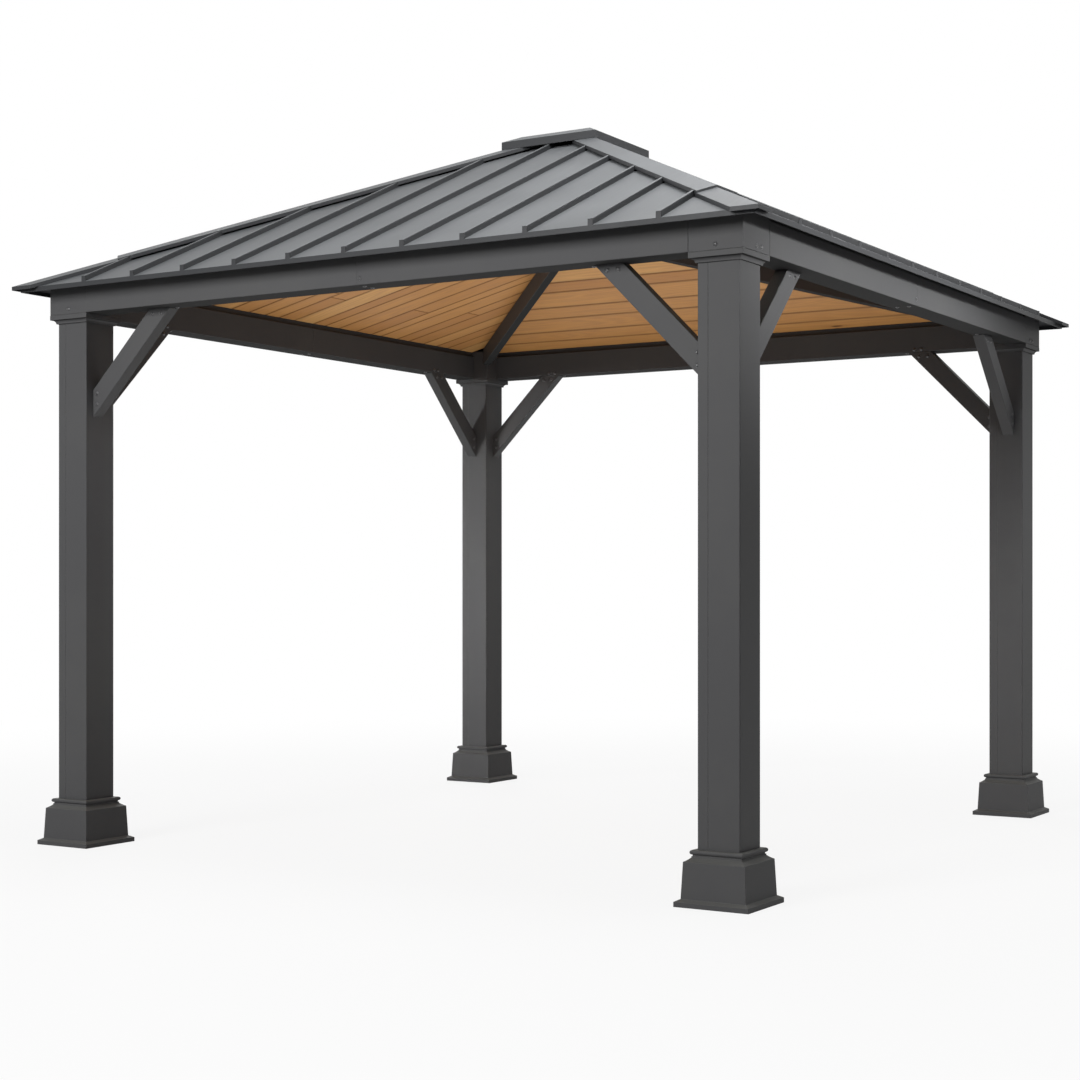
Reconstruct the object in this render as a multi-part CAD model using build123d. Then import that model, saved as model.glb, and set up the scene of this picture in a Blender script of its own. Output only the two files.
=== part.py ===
from build123d import *
import math
import os

# Hip roofed steel garden pavilion on four square posts, with a boarded ceiling.
# The origin is at ground level in the middle of the plan. +X is to the right along
# the front, -Y is the front and +Z is up. Everything is in millimetres.

# Posts, and the seam where their two folded halves meet
POST_SPACING = 2980.0
BEAM_UNDERSIDE = 2193.0
POST_SIZE = 158.0
POST_WALL = 3.0
POST_RADIUS = 4.0
SEAM_WIDTH = 1.5
SEAM_DEPTH = 0.8
SEAM_FROM_EDGE = 40.0

# Moulded plinth at the foot of a post; each reach is measured out from the post face
PLINTH_REACH = 60.0
PLINTH_EDGE = 17.0
BLOCK_FOOT_REACH = 42.0
BLOCK_FOOT_LEVEL = 26.0
BLOCK_TOP_REACH = 36.0
BLOCK_TOP_LEVEL = 150.0
NECK_REACH = 15.0
NECK_LEVEL = 164.0
NECK_TOP_LEVEL = 168.0
GROOVE_REACH = 12.0
BEAD_FOOT_LEVEL = 173.0
BEAD_RADIUS = 8.0

# Capital round the head of a post: a flat band, bevelled at its top edge, over a cove
CAPITAL_REACH = 24.0
CAPITAL_BAND = 20.0
CAPITAL_EDGE = 2.0
CAPITAL_COVE = 15.0
CAPITAL_FOOT_REACH = 6.0

# Corner boxes and beams, which stand flush with the capital bands
CORNER_BOX_HEIGHT = 145.0
CORNER_BOX_RADIUS = 3.0
BEAM_WIDTH = 116.0
BEAM_HEIGHT = 120.0
BEAM_WALL = 3.0
BEAM_RADIUS = 3.0
BEAM_JOINT = 0.8
RAIL_OUTER_SETBACK = 13.0
RAIL_INNER_SETBACK = 13.0

# Knee braces at 45 degrees between post and beam
BRACE_LEG = 424.0
BRACE_WIDTH = 80.0
BRACE_THICKNESS = 52.0
BRACE_WALL = 2.0
BRACE_RADIUS = 3.0
BRACE_PLATE = 4.0

# Roof of folded sheet with standing ribs
ROOF_PITCH = 24.5
EAVE_OVERHANG = 186.0
SHEET = 2.0
DRIP_EDGE = 19.0
RIB_SPACING = 264.0
RIB_BASE = 18.0
RIB_TOP = 12.0
RIB_HEIGHT = 20.0
RIB_RADIUS = 3.0
RIB_END_WIDTH = 20.0
RIB_END_HEIGHT = 25.0
RIB_END_LENGTH = 3.0
RIB_HIP_SETBACK = 40.0
SHEET_GAP = 0.5

# Hip caps in two lengths: the lower one stands on the pans, the upper one on the ribs
HIP_CAP_WING = 74.0
HIP_CAP_TIP = 25.0
HIP_CAP_FLANGE = 12.0
HIP_CAP_RIB_GAP = 3.7
HIP_CAP_LAP = 15.0
HIP_CAP_HEAD_SETBACK = 10.0
RIB_NOTCH = 1.0

# Square cap over the open crown of the roof
CROWN_HALF = 150.0
TOP_CAP_HALF = 238.0
TOP_CAP_SKIRT = 33.0
TOP_CAP_BEVEL = 64.0
TOP_CAP_BEVEL_RISE = 29.0

# Ceiling of boards, on four hip rafters that meet at a hub
CEILING_PITCH = 13.3
CEILING_THICKNESS = 12.0
CEILING_EDGE_RISE = 22.0
RAFTER_WIDTH = 40.0
RAFTER_HEIGHT = 88.0
RAFTER_WALL = 2.0
RAFTER_RADIUS = 3.0
HUB_SIDE = 140.0
HUB_HEIGHT = 110.0

# Clearance of a piece from its seat
FIT = 0.3

# Sizes that follow from those above
POST_AT = POST_SPACING / 2
POST_HALF = POST_SIZE / 2
CORNER_HALF = POST_HALF + CAPITAL_REACH
BEAM_TOP = BEAM_UNDERSIDE + BEAM_HEIGHT
BEAM_OUTER = POST_AT + CORNER_HALF
BEAM_INNER = BEAM_OUTER - BEAM_WIDTH
RAIL_OUTER = BEAM_OUTER - RAIL_OUTER_SETBACK
RAIL_INNER = BEAM_INNER + RAIL_INNER_SETBACK
BRACE_AT = BEAM_INNER + BRACE_THICKNESS / 2
EAVE_AT = POST_AT + EAVE_OVERHANG
CAPITAL_FOOT = BEAM_UNDERSIDE - CAPITAL_BAND - CAPITAL_COVE
PITCH = math.radians(ROOF_PITCH)
SHEET_RISE = SHEET / math.cos(PITCH)
CEILING_SLOPE = math.tan(math.radians(CEILING_PITCH))
CEILING_OUTER = RAIL_INNER - FIT
RIB_ROOM = EAVE_AT - HIP_CAP_WING * math.sqrt(2) - RIB_END_WIDTH / 2
RIBS_EACH_SIDE = int(RIB_ROOM / RIB_SPACING)
LAST_RIB_EDGE = RIB_SPACING * RIBS_EACH_SIDE + RIB_BASE / 2
LOWER_CAP_HEAD = LAST_RIB_EDGE + HIP_CAP_RIB_GAP + HIP_CAP_WING / math.sqrt(2)
HIP_CAP_JOINT = LOWER_CAP_HEAD + HIP_CAP_LAP
SIDES = ("front", "right", "back", "left")
CORNERS = ("front_right", "back_right", "back_left", "front_left")


def roof_underside(out):
    """Height of the underside of the roof sheet, this far out from the centre line."""
    seat = BEAM_UNDERSIDE + CORNER_BOX_HEIGHT + FIT
    return seat + (BEAM_OUTER - out) * math.tan(PITCH)


def roof_surface(out, above=0.0):
    """Height of a level that lies this far above the roof sheet, square to the slope."""
    return roof_underside(out) + SHEET_RISE + above / math.cos(PITCH)


def ceiling_underside(out):
    """Height of the underside of the ceiling, this far out from the centre line."""
    return BEAM_TOP + CEILING_EDGE_RISE + (RAIL_INNER - out) * CEILING_SLOPE


def plan_prism(*points):
    """A tall prism over an outline in plan."""
    tall = 2 * roof_surface(0, RIB_END_HEIGHT)
    return extrude(Polygon(*points, align=None), amount=tall, dir=(0, 0, 1))


def front_bar(*points):
    """A bar along the front with this section; each point is distance out and height."""
    section = Plane.YZ * Polygon(*[(-out, level) for out, level in points], align=None)
    return extrude(section, amount=2 * EAVE_AT, both=True)


def mitred(bar, gap=0.0):
    """The front quarter of a frame: a bar cut along both diagonals of the plan."""
    far = 2 * EAVE_AT
    return bar & plan_prism((0, -gap), (far - gap, -far), (gap - far, -far))


def four_sided(quarter):
    """A square frame made of its front quarter, four times."""
    return quarter + [Rot(0, 0, 90 * turn) * quarter for turn in (1, 2, 3)]


def post_tube():
    """A square post with a shallow seam down its front and its back."""
    section = RectangleRounded(POST_SIZE, POST_SIZE, POST_RADIUS)
    bore = Rectangle(POST_SIZE - 2 * POST_WALL, POST_SIZE - 2 * POST_WALL)
    seam = Pos(SEAM_FROM_EDGE - POST_HALF, -POST_HALF) * Rectangle(SEAM_WIDTH, 2 * SEAM_DEPTH)
    return extrude(section - bore - seam - Rot(0, 0, 180) * seam, amount=BEAM_UNDERSIDE)


def mitred_moulding(outline):
    """A moulding with this section, mitred round all four faces of a post."""
    section = Plane.YZ * make_face(outline)
    return four_sided(mitred(extrude(section, amount=POST_SIZE, both=True)))


def post_plinth():
    """Plinth: bevelled flange, tapered block, hollow shoulder, neck and round bead."""
    back = -POST_HALF - FIT
    bead_top = (-POST_HALF - GROOVE_REACH, BEAD_FOOT_LEVEL + 2 * BEAD_RADIUS)
    bead_side = (bead_top[0] - BEAD_RADIUS, BEAD_FOOT_LEVEL + BEAD_RADIUS)
    bead_foot = (bead_top[0], BEAD_FOOT_LEVEL)
    block_top = (-POST_HALF - BLOCK_TOP_REACH, BLOCK_TOP_LEVEL)
    neck_foot = (-POST_HALF - NECK_REACH, NECK_LEVEL)
    straight = Polyline(
        bead_foot,
        (bead_foot[0], NECK_TOP_LEVEL),
        (neck_foot[0], NECK_TOP_LEVEL),
        neck_foot,
    )
    shoulder = TangentArc(neck_foot, block_top, tangent=(-1, -1))
    body = Polyline(
        block_top,
        (-POST_HALF - BLOCK_FOOT_REACH, BLOCK_FOOT_LEVEL),
        (-POST_HALF - PLINTH_REACH, PLINTH_EDGE),
        (-POST_HALF - PLINTH_REACH, 0),
        (back, 0),
        (back, bead_top[1]),
        bead_top,
    )
    bead = ThreePointArc(bead_top, bead_side, bead_foot)
    return mitred_moulding(straight + shoulder + body + bead)


def post_capital():
    """Capital: a flat band with a cove that sweeps in to the post below it."""
    back = -POST_HALF - FIT
    band_foot = (-CORNER_HALF, CAPITAL_FOOT + CAPITAL_COVE)
    cove_foot = (-POST_HALF - CAPITAL_FOOT_REACH, CAPITAL_FOOT)
    cove = TangentArc(cove_foot, band_foot, tangent=(0, 1))
    body = Polyline(
        band_foot,
        (-CORNER_HALF, BEAM_UNDERSIDE - CAPITAL_EDGE),
        (CAPITAL_EDGE - CORNER_HALF, BEAM_UNDERSIDE),
        (back, BEAM_UNDERSIDE),
        (back, CAPITAL_FOOT),
        cove_foot,
    )
    return mitred_moulding(cove + body)


def corner_box():
    """Box on the head of a post that both beams run into, its upright edges rounded."""
    side = 2 * CORNER_HALF
    plan = RectangleRounded(side, side, CORNER_BOX_RADIUS)
    return Pos(0, 0, BEAM_UNDERSIDE) * extrude(plan, amount=CORNER_BOX_HEIGHT)


def front_beam():
    """Front beam in two halves: a hollow section with a narrower rail on top of it."""
    rail_top = roof_underside(RAIL_OUTER) - FIT
    rail_width = RAIL_OUTER - RAIL_INNER
    rail_height = rail_top - BEAM_TOP
    wall = 2 * BEAM_WALL
    on_foot = (Align.CENTER, Align.MIN)
    middle = Pos(BEAM_WIDTH / 2 - BEAM_OUTER, BEAM_UNDERSIDE)
    body = middle * Pos(0, BEAM_HEIGHT / 2) * RectangleRounded(BEAM_WIDTH, BEAM_HEIGHT, BEAM_RADIUS)
    rail_at = Pos(-(RAIL_OUTER + RAIL_INNER) / 2, BEAM_TOP - BEAM_WALL)
    rail = rail_at * Rectangle(rail_width, rail_height + BEAM_WALL, align=on_foot)
    bore = middle * Pos(0, BEAM_WALL) * Rectangle(BEAM_WIDTH - wall, BEAM_HEIGHT - wall, align=on_foot)
    rail_bore = rail_at * Rectangle(rail_width - wall, rail_height, align=on_foot)
    section = Plane.YZ * (body + rail - bore - rail_bore)
    length = POST_AT - CORNER_HALF - BEAM_JOINT / 2
    half = Pos(BEAM_JOINT / 2, 0, 0) * extrude(section, amount=length)
    return Compound([half, mirror(half, about=Plane.YZ)])


def knee_brace():
    """Brace from the post at the origin out along +X and up to the beam."""
    cut = BRACE_WIDTH * math.sqrt(2)
    middle_leg = BRACE_LEG - cut / 2
    middle = (POST_HALF + middle_leg / 2, 0, BEAM_UNDERSIDE - middle_leg / 2)
    across = Plane(origin=middle, x_dir=(0, 1, 0), z_dir=(1, 0, 1))
    tube = RectangleRounded(BRACE_THICKNESS, BRACE_WIDTH, BRACE_RADIUS)
    bore = Rectangle(BRACE_THICKNESS - 2 * BRACE_WALL, BRACE_WIDTH - 2 * BRACE_WALL)
    bar = extrude(across * (tube - bore), amount=BRACE_LEG, both=True)
    inside_corner = (Align.MIN, Align.CENTER, Align.MAX)
    plate_corner = Pos(POST_HALF + BRACE_PLATE, 0, BEAM_UNDERSIDE - BRACE_PLATE)
    bar = bar & plate_corner * Box(2 * BRACE_LEG, BRACE_LEG, 2 * BRACE_LEG, align=inside_corner)
    head = Pos(POST_HALF + BRACE_LEG - cut, 0, BEAM_UNDERSIDE) * Box(
        cut, BRACE_THICKNESS, BRACE_PLATE, align=inside_corner
    )
    foot = Pos(POST_HALF, 0, BEAM_UNDERSIDE - BRACE_LEG + cut) * Box(
        BRACE_PLATE, BRACE_THICKNESS, cut, align=inside_corner
    )
    return bar + head + foot


def slope_rib(at, grow=0.0):
    """One standing rib of the front slope, from the eave up towards the hip."""
    eave = (at, -EAVE_AT, roof_surface(EAVE_AT))
    uphill = (0, math.cos(PITCH), math.sin(PITCH))
    across = Plane(origin=eave, x_dir=(-1, 0, 0), z_dir=uphill)
    section = Polygon(
        (-RIB_BASE / 2 - grow, -SHEET / 2),
        (RIB_BASE / 2 + grow, -SHEET / 2),
        (RIB_TOP / 2 + grow, RIB_HEIGHT + grow),
        (-RIB_TOP / 2 - grow, RIB_HEIGHT + grow),
        align=None,
    )
    if grow == 0:
        crest = section.vertices().group_by(Axis.Y)[-1]
        section = fillet(crest, RIB_RADIUS)
    return extrude(across * section, amount=EAVE_AT / math.cos(PITCH))


def rib_end(at):
    """The thin upturned tab that closes a rib at the eave."""
    floor = roof_surface(EAVE_AT) - SHEET_RISE
    foot = Pos(at, -EAVE_AT, floor)
    front_foot = (Align.CENTER, Align.MIN, Align.MIN)
    return foot * Box(RIB_END_WIDTH, RIB_END_LENGTH, RIB_END_HEIGHT, align=front_foot)


def rib_places():
    return [RIB_SPACING * step for step in range(-RIBS_EACH_SIDE, RIBS_EACH_SIDE + 1)]


def front_roof_slope():
    """Front roof slope: a sheet with a turned down eave, and ribs that stop at the hips."""
    drip_back = EAVE_AT - SHEET
    drip_foot = roof_surface(EAVE_AT) - DRIP_EDGE
    sheet = front_bar(
        (drip_back, roof_underside(drip_back)),
        (drip_back, drip_foot),
        (EAVE_AT, drip_foot),
        (EAVE_AT, roof_surface(EAVE_AT)),
        (0, roof_surface(0)),
        (0, roof_underside(0)),
    )
    ribs = mitred(Part() + [slope_rib(at) for at in rib_places()], RIB_HIP_SETBACK)
    ribs = ribs & Box(2 * EAVE_AT, 2 * EAVE_AT, 4 * BEAM_UNDERSIDE)
    crown = Box(2 * CROWN_HALF, 2 * CROWN_HALF, 4 * BEAM_UNDERSIDE)
    return mitred(sheet, SHEET_GAP) + ribs + [rib_end(at) for at in rib_places()] - crown


def roof_layer(low, high):
    """The layer of the front slope between two levels above the sheet."""
    far = EAVE_AT + HIP_CAP_TIP
    return front_bar(
        (0, roof_surface(0, low)),
        (far, roof_surface(far, low)),
        (far, roof_surface(far, high)),
        (0, roof_surface(0, high)),
    )


def wing_outline(head, foot, inset, square_foot):
    """Plan of a hip cap wing beside the front right diagonal, from head to foot."""
    side = (HIP_CAP_WING - inset) / math.sqrt(2)
    head = head + inset
    foot = foot - inset
    foot_corner = (foot - side, -foot - side) if square_foot else (foot - 2 * side, -foot)
    return plan_prism((head, -head), (foot, -foot), foot_corner, (head - side, -head - side))


def hip_cap_length(head, foot, rise, drop, square_foot):
    """One wing of a length of hip cap: a sheet over the slope with its edges turned down."""
    whole = wing_outline(head, foot, 0, square_foot)
    inner = wing_outline(head - SHEET, foot, SHEET, square_foot)
    sheet = roof_layer(rise, rise + SHEET) & whole
    flange = (roof_layer(rise - drop, rise) & whole) - inner
    return sheet + flange


def hip_cap():
    """Cap of the front right hip, its upper length notched over the ribs."""
    tip = EAVE_AT + HIP_CAP_TIP
    lower_rise = FIT + HIP_CAP_FLANGE
    upper_rise = FIT + RIB_HEIGHT
    lap_drop = upper_rise - lower_rise - SHEET / 2
    lower = hip_cap_length(LOWER_CAP_HEAD, tip, lower_rise, HIP_CAP_FLANGE, False)
    head = CROWN_HALF + HIP_CAP_HEAD_SETBACK
    upper = hip_cap_length(head, HIP_CAP_JOINT, upper_rise, HIP_CAP_FLANGE, True)
    lower_sheet = wing_outline(LOWER_CAP_HEAD, tip, 0, False)
    upper = upper - (roof_layer(0, upper_rise - lap_drop) & lower_sheet)
    upper = upper - [slope_rib(at, RIB_NOTCH) for at in rib_places()[RIBS_EACH_SIDE:]]
    wing = lower + upper
    diagonal = Plane(origin=(0, 0, 0), x_dir=(1, -1, 0), z_dir=(1, 1, 0))
    return wing + mirror(wing, about=diagonal)


def top_cap():
    """Crown cap: a skirt, a bevel and a flat top, open below."""
    foot = roof_surface(TOP_CAP_HALF - SHEET, FIT + RIB_HEIGHT + SHEET) + FIT
    shoulder = foot + TOP_CAP_SKIRT
    top = shoulder + TOP_CAP_BEVEL_RISE
    flat = TOP_CAP_HALF - TOP_CAP_BEVEL
    quarter = front_bar(
        (TOP_CAP_HALF, foot),
        (TOP_CAP_HALF, shoulder),
        (flat, top),
        (0, top),
        (0, top - SHEET),
        (flat - SHEET / 2, top - SHEET),
        (TOP_CAP_HALF - SHEET, shoulder - SHEET / 2),
        (TOP_CAP_HALF - SHEET, foot),
    )
    return four_sided(mitred(quarter))


def front_ceiling():
    """Front slope of the ceiling, notched round the corner boxes."""
    rise = CEILING_THICKNESS / math.cos(math.radians(CEILING_PITCH))
    slab = front_bar(
        (0, ceiling_underside(0)),
        (CEILING_OUTER, ceiling_underside(CEILING_OUTER)),
        (CEILING_OUTER, ceiling_underside(CEILING_OUTER) + rise),
        (0, ceiling_underside(0) + rise),
    )
    notch = 2 * (CORNER_HALF + FIT)
    corner = Pos(POST_AT, -POST_AT, BEAM_TOP) * Box(notch, notch, BEAM_HEIGHT)
    return mitred(slab, SHEET_GAP) - corner - mirror(corner, about=Plane.YZ)


def hip_rafter():
    """Rafter under the front right hip of the ceiling, from the hub to the corner box."""
    hip_slope = math.atan(CEILING_SLOPE / math.sqrt(2))
    edge_drop = RAFTER_WIDTH / 2 / math.sqrt(2) * CEILING_SLOPE + FIT
    middle_drop = edge_drop + RAFTER_HEIGHT / 2 / math.cos(hip_slope)
    middle = (POST_AT, -POST_AT, ceiling_underside(POST_AT) - middle_drop)
    uphill = (-math.cos(hip_slope), math.cos(hip_slope), math.sqrt(2) * math.sin(hip_slope))
    across = Plane(origin=middle, x_dir=(1, 1, 0), z_dir=uphill)
    tube = RectangleRounded(RAFTER_WIDTH, RAFTER_HEIGHT, RAFTER_RADIUS)
    bore = Rectangle(RAFTER_WIDTH - 2 * RAFTER_WALL, RAFTER_HEIGHT - 2 * RAFTER_WALL)
    bar = extrude(across * (tube - bore), amount=POST_AT * math.sqrt(2) / math.cos(hip_slope))
    seat = 2 * (CORNER_HALF + FIT)
    corner = Pos(POST_AT, -POST_AT, BEAM_TOP) * Box(seat, seat, 4 * BEAM_HEIGHT)
    hub_seat = HUB_SIDE + 2 * FIT
    hub_room = Rot(0, 0, 45) * Box(hub_seat, hub_seat, 4 * BEAM_UNDERSIDE)
    return bar - corner - hub_room


def rafter_hub():
    """Square hub, turned by 45 degrees, that the four hip rafters meet at."""
    corner_reach = HUB_SIDE / math.sqrt(2)
    head = ceiling_underside(corner_reach) - FIT
    seat = (Align.CENTER, Align.CENTER, Align.MAX)
    return Pos(0, 0, head) * Rot(0, 0, 45) * Box(HUB_SIDE, HUB_SIDE, HUB_HEIGHT, align=seat)


def save(shape, name):
    export_step(shape, f"parts/{name}.step")


def main():
    os.makedirs("parts", exist_ok=True)
    post = post_tube()
    plinth = post_plinth()
    capital = post_capital()
    box = corner_box()
    brace = knee_brace()
    beam = front_beam()
    slope = front_roof_slope()
    ceiling = front_ceiling()
    cap = hip_cap()
    rafter = hip_rafter()
    for turn, (side, corner) in enumerate(zip(SIDES, CORNERS)):
        spin = Rot(0, 0, 90 * turn)
        save(spin * beam, f"beam_{side}")
        save(spin * slope, f"roof_slope_{side}")
        save(spin * ceiling, f"ceiling_{side}")
        save(spin * cap, f"hip_cap_{corner}")
        save(spin * rafter, f"hip_rafter_{corner}")
        at_corner = spin * Pos(POST_AT, -POST_AT, 0)
        upright = at_corner * Rot(0, 0, -90 * turn)
        save(upright * post, f"post_{corner}")
        save(upright * plinth, f"post_plinth_{corner}")
        save(upright * capital, f"post_capital_{corner}")
        save(upright * box, f"corner_box_{corner}")
        under_beam = BRACE_AT - POST_AT
        first = at_corner * Pos(0, -under_beam, 0) * Rot(0, 0, 180) * brace
        second = at_corner * Pos(under_beam, 0, 0) * Rot(0, 0, 90) * brace
        save(first, f"knee_brace_{side}_{corner}")
        save(second, f"knee_brace_{SIDES[(turn + 1) % len(SIDES)]}_{corner}")
    save(rafter_hub(), "rafter_hub")
    save(top_cap(), "top_cap")


main()
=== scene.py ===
# %% [markdown]
# # A steel garden pavilion with a boarded ceiling
#
# The pavilion is an open steel frame: four boxed posts on moulded plinths, beams with
# knee braces, a hip roof of folded sheet and a ceiling of cedar boards under it. The
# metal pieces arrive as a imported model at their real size, in metres, and stay as they
# are. This lesson gives them their finish and adds what is too fine for that model: the
# single boards, the bolts, the sleeves in the beam joints, the light and the camera.

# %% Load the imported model
import math

import bmesh
import bpy
from mathutils import Matrix, Vector


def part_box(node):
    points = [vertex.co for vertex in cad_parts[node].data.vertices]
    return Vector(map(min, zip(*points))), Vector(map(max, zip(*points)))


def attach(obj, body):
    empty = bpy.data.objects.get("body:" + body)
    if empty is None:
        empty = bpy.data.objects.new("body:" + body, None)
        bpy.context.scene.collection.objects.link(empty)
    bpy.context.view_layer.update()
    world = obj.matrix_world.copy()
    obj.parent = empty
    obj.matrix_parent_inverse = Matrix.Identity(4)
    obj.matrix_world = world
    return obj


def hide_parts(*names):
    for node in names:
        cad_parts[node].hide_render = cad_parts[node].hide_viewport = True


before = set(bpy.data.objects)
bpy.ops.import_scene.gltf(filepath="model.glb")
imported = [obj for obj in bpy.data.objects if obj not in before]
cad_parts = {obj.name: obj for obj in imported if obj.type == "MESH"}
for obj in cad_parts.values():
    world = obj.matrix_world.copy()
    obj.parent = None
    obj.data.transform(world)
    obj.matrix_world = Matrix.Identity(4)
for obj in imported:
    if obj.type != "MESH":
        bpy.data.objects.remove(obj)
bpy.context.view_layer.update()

MM = 0.001
SIDES = ("front", "right", "back", "left")


def put(name, data):
    """An object in the scene, at the origin and unturned."""
    thing = bpy.data.objects.new(name, data)
    bpy.context.scene.collection.objects.link(thing)
    return thing


# %% [markdown]
# ## The camera
#
# The view is from the front right, at about the height of a seated eye, and level, so
# upright edges stay upright in the picture. The eye was found by fitting the posts' feet
# and heads. It is given in metres and its turn in radians. The point of the picture that
# the eye looks straight at lies off its middle, and Blender gives that as a small shift of
# the lens.

# %% Camera at the photograph's viewing angle
PICTURE_SIDE = 1080
FOCAL_PIXELS = 1925.5
LOOKED_AT_PIXEL = (566.1, 581.3)
EYE = Vector((4.375, -7.331, 1.090))
EYE_TURN = 0.5432

lens = bpy.data.cameras.new("camera")
lens.lens = lens.sensor_width * FOCAL_PIXELS / PICTURE_SIDE
lens.shift_x = 0.5 - LOOKED_AT_PIXEL[0] / PICTURE_SIDE
lens.shift_y = LOOKED_AT_PIXEL[1] / PICTURE_SIDE - 0.5
camera = put("camera", lens)
camera.location = EYE
camera.rotation_euler = (math.radians(90), 0, EYE_TURN)
bpy.context.scene.camera = camera
print("lens", round(lens.lens, 1), "mm, shift", round(lens.shift_x, 3), round(lens.shift_y, 3))

# %% [markdown]
# ## Node trees written as sums
#
# A finish is a small calculation on the place of each point, and so is a row of boards.
# Drawn as a node tree it is hard to follow, so here one class stands for an output
# socket and turns + - * / into Math nodes. Every other node comes from one method, which
# takes the node's kind, its settings and what goes into its sockets. Finishes and
# geometry share it, because both kinds of tree use the same Math nodes.

# %% A socket that can be added and multiplied
class Wire:
    def __init__(self, bench, socket):
        self.bench = bench
        self.socket = socket

    def maths(self, operation, first, second):
        return self.bench.maths(operation, first, second)

    def __add__(self, other):
        return self.maths("ADD", self, other)

    def __sub__(self, other):
        return self.maths("SUBTRACT", self, other)

    def __mul__(self, other):
        return self.maths("MULTIPLY", self, other)

    def __truediv__(self, other):
        return self.maths("DIVIDE", self, other)

    def __rsub__(self, other):
        return self.maths("SUBTRACT", other, self)

    def __gt__(self, other):
        return self.maths("GREATER_THAN", self, other)

    def __lt__(self, other):
        return self.maths("LESS_THAN", self, other)

    __radd__ = __add__
    __rmul__ = __mul__


class Bench:
    """A node tree, and the one way to add a node to it."""

    def __init__(self, tree):
        self.tree = tree

    def feed(self, socket, value):
        """Plug a wire into a socket, or set the socket to a plain value."""
        if isinstance(value, Wire):
            self.tree.links.new(value.socket, socket)
        else:
            socket.default_value = value

    def node(self, kind, settings=None, inputs=None, output=0):
        """A node of this kind: its settings first, then its sockets by name or number."""
        made = self.tree.nodes.new(kind)
        for name, value in (settings or {}).items():
            if name == "stops":
                set_stops(made.color_ramp, value)
            else:
                setattr(made, name, value)
        for key, value in (inputs or {}).items():
            self.feed(made.inputs[key], value)
        return Wire(self, made.outputs[output])

    def maths(self, operation, *values):
        return self.node("ShaderNodeMath", {"operation": operation}, dict(enumerate(values)))

    def vector(self, x, y, z):
        return self.node("ShaderNodeCombineXYZ", None, {0: x, 1: y, 2: z})

    def split(self, vector):
        made = self.tree.nodes.new("ShaderNodeSeparateXYZ")
        self.feed(made.inputs[0], vector)
        return [Wire(self, socket) for socket in made.outputs]

    def step(self, value, low, high):
        """0 up to low, 1 from high, and a smooth rise between them."""
        settings = {"interpolation_type": "SMOOTHSTEP"}
        return self.node("ShaderNodeMapRange", settings, {0: value, 1: low, 2: high})


def set_stops(ramp, stops):
    while len(ramp.elements) < len(stops):
        ramp.elements.new(1.0)
    for element, (place, colour) in zip(ramp.elements, stops):
        element.position = place
        element.color = colour


print("benches ready")

# %% [markdown]
# ## What every finish shares
#
# Colours are noted as they look on a screen, 0 to 255, and turned into the linear light
# that the renderer works in. A finish is one Principled shader with what varies over the
# surface plugged into its colour, roughness and normal. The pattern is read from Object
# coordinates, which are the pavilion's own metres, so a speck is as large on a post as
# on a beam. Every coat has the fine orange peel of sprayed paint.

# %% Colours and the start of a finish
def screen(red, green, blue):
    """The linear colour that looks like this on a screen, by the standard screen curve."""
    linear = [(part / 255 / 12.92) if part < 10 else ((part / 255 + 0.055) / 1.055) ** 2.4
              for part in (red, green, blue)]
    return (*linear, 1.0)


PEEL_SCALE = 420.0


class Finish(Bench):
    """A material with a Principled shader, and short names for the textures used here."""

    def __init__(self, name, **fixed):
        self.material = bpy.data.materials.new(name)
        self.material.use_nodes = True
        super().__init__(self.material.node_tree)
        self.shader = self.tree.nodes["Principled BSDF"]
        for socket, value in fixed.items():
            self.shader.inputs[socket.replace("_", " ")].default_value = value

    def set(self, **sockets):
        for socket, value in sockets.items():
            self.feed(self.shader.inputs[socket.replace("_", " ")], value)

    def place(self):
        return self.node("ShaderNodeTexCoord", output="Object")

    def facing_up(self):
        """1 where the surface looks straight up, 0 where it is upright, -1 where it looks down."""
        return self.split(self.node("ShaderNodeNewGeometry", output="Normal"))[2]

    def noise(self, place, scale, detail=2.0, roughness=0.5):
        values = {"Vector": place, "Scale": scale, "Detail": detail, "Roughness": roughness}
        return self.node("ShaderNodeTexNoise", None, values)

    def blend(self, factor, first, second):
        """A colour between two. A Mix node keeps its colours on sockets 6 and 7, and gives 2."""
        return self.node("ShaderNodeMix", {"data_type": "RGBA"}, {0: factor, 6: first, 7: second}, 2)

    def bump(self, height, distance, normal=None):
        values = {"Height": height, "Distance": distance, "Strength": 1.0}
        if normal:
            values["Normal"] = normal
        return self.node("ShaderNodeBump", None, values)

    def soft_edge(self, radius):
        """The surface's normal, with its corners rounded by this radius."""
        return self.node("ShaderNodeBevel", {"samples": 6}, {"Radius": radius})

    def edge(self, rounded):
        """0 on a flat stretch, rising towards 1 on a corner that was rounded."""
        flat = self.node("ShaderNodeNewGeometry", output="Normal")
        settings = {"operation": "DOT_PRODUCT"}
        return 1.0 - self.node("ShaderNodeVectorMath", settings, {0: rounded, 1: flat}, "Value")


print("half way to white on a screen is", round(screen(128, 128, 128)[0], 3), "of its light")

# %% [markdown]
# ## Powder coat
#
# The frame is steel with a baked powder coat: an even charcoal with a satin sheen and a
# faint orange-peel texture. Two things make it read as paint on metal and not as grey
# plastic: broad clouds in its roughness, where hands and rain have been, and corners
# that catch a thin line of light. The corner line comes from the Bevel node, which
# rounds the normal without touching the mesh, and from a paler colour painted on the
# corners, a painted highlight with some wear. Faces that look up are painted paler, a
# painted top light with some dust, and the undersides of beams are painted darker, a
# painted shade, and are quite matt.

# %% Finish of the frame
COAT = screen(69, 69, 70)
# A paler colour painted on rounded corners, as a painted highlight with some wear.
COAT_EDGE_HIGHLIGHT_AND_WEAR = screen(104, 104, 104)
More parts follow.
